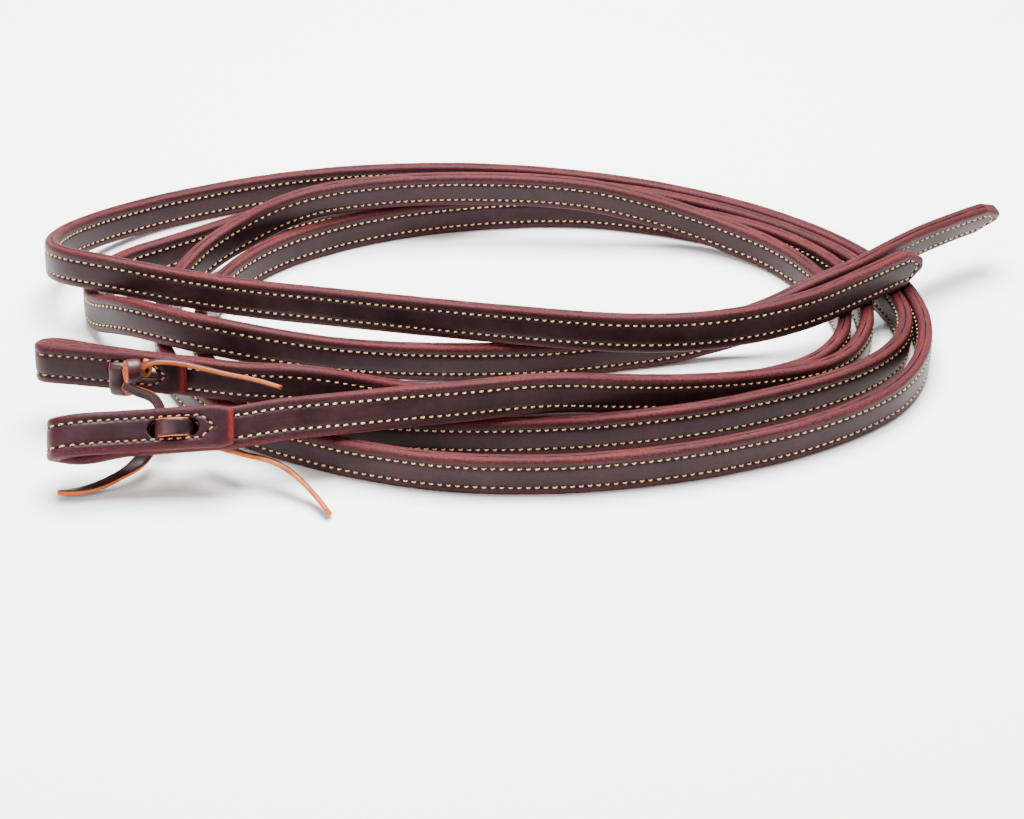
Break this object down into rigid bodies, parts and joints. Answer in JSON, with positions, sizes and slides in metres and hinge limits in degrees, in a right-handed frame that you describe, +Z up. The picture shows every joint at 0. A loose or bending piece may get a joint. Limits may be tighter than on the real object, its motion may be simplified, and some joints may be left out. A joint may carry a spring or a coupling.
{
  "type": "split reins",
  "caption": "Leather split reins lying in a loose coil, sewn along both edges, each with a folded water loop tied shut by a lace.",
  "frame": {"origin": "middle of the coil's outline, on the surface that the reins lie on", "axes": "+X along the coil's long way towards the free tips, -Y to the side where the water loops lie, +Z up"},
  "size_m": [0.4168, 0.2738, 0.0384],
  "materials": {
    "outer_leather": "oiled harness leather, dark burgundy brown, reddish burnished edges",
    "inner_leather": "oiled harness leather, dark burgundy brown, reddish burnished edges",
    "thread": "waxed tan lock-stitch thread",
    "lace": "glossy burgundy latigo with raw orange-tan cut edges"
  },
  "bodies": {
    "root": {"left_rein_outer_ply": "outer_leather", "left_rein_inner_ply": "inner_leather", "left_rein_outer_stitching": "thread", "left_rein_inner_stitching": "thread", "left_tie_lace": "lace", "right_rein_outer_ply": "outer_leather", "right_rein_inner_ply": "inner_leather", "right_rein_outer_stitching": "thread", "right_rein_inner_stitching": "thread", "right_tie_lace": "lace"}
  },
  "joints": []
}
